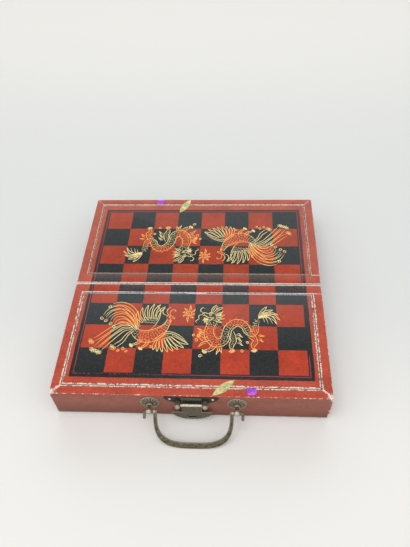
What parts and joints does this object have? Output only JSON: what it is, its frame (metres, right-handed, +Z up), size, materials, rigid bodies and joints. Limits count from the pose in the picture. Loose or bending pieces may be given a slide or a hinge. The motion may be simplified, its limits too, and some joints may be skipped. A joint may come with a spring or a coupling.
{
  "type": "folding chess case",
  "caption": "Folding two-tray wooden game case whose outer faces open into a chequered board, with bail handle, clasp and lined trays.",
  "frame": {"origin": "under the middle of the whole outline, on the surface that the open case stands on", "axes": "+X along the fold to the right of the handle side, +Y from the handle side towards the far tray, +Z up out of the board"},
  "size_m": [0.28, 0.349, 0.0421],
  "materials": {
    "wall_lacquer": "aged dark red lacquer, satin",
    "board_lacquer": "red and black lacquer chequer with gold lines, satin, worn edges",
    "lining_silk": "old gold satin",
    "hinge_brass": "dull",
    "aged_bronze": "dark patina, rubbed on high points",
    "foil_label": "crumpled foil paper",
    "violet_tag": "matte"
  },
  "bodies": {
    "near_tray": {"near_front_wall": "wall_lacquer", "near_back_wall": "wall_lacquer", "near_left_wall": "wall_lacquer", "near_right_wall": "wall_lacquer", "near_front_rail": "board_lacquer", "near_back_rail": "board_lacquer", "near_left_rail": "board_lacquer", "near_right_rail": "board_lacquer", "near_panel": "board_lacquer", "near_wall_lining": "lining_silk", "near_floor_pad": "lining_silk", "near_hinge_leaves": "hinge_brass", "near_hinge_screws": "hinge_brass", "hinge_pins": "hinge_brass", "left_rosette": "aged_bronze", "right_rosette": "aged_bronze", "left_eye_pin": "aged_bronze", "right_eye_pin": "aged_bronze", "clasp_plate": "aged_bronze", "clasp_posts": "aged_bronze", "clasp_nails": "aged_bronze", "clasp_pin": "aged_bronze", "near_label": "foil_label", "near_tag": "violet_tag"},
    "far_tray": {"far_front_wall": "wall_lacquer", "far_back_wall": "wall_lacquer", "far_left_wall": "wall_lacquer", "far_right_wall": "wall_lacquer", "far_front_rail": "board_lacquer", "far_back_rail": "board_lacquer", "far_left_rail": "board_lacquer", "far_right_rail": "board_lacquer", "far_panel": "board_lacquer", "far_wall_lining": "lining_silk", "far_floor_pad": "lining_silk", "far_hinge_leaves": "hinge_brass", "far_hinge_screws": "hinge_brass", "far_label": "foil_label", "far_tag": "violet_tag", "keeper_plate": "aged_bronze", "keeper_nails": "aged_bronze", "keeper_pin": "aged_bronze"},
    "handle": {"bail_handle": "aged_bronze"},
    "flap": {"clasp_flap": "aged_bronze"},
    "tongue": {"keeper_tongue": "aged_bronze"}
  },
  "joints": [
    {"name": "fold", "type": "hinge", "parent": "near_tray", "child": "far_tray", "pos_m": [0, 0.0056, 0.0012], "axis": [-1, 0, 0], "range_deg": [-1, 180]},
    {"name": "handle_swing", "type": "hinge", "parent": "near_tray", "child": "handle", "pos_m": [0.0035, -0.1477, 0.02725], "axis": [-1, 0, 0], "range_deg": [-43.6, 160]},
    {"name": "flap_swing", "type": "hinge", "parent": "near_tray", "child": "flap", "pos_m": [0.002, -0.142, 0.03025], "axis": [-1, 0, 0], "range_deg": [0, 150]},
    {"name": "tongue_swing", "type": "hinge", "parent": "far_tray", "child": "tongue", "pos_m": [0.002, 0.1507, 0.01535], "axis": [1, 0, 0], "range_deg": [-57, 94]}
  ]
}
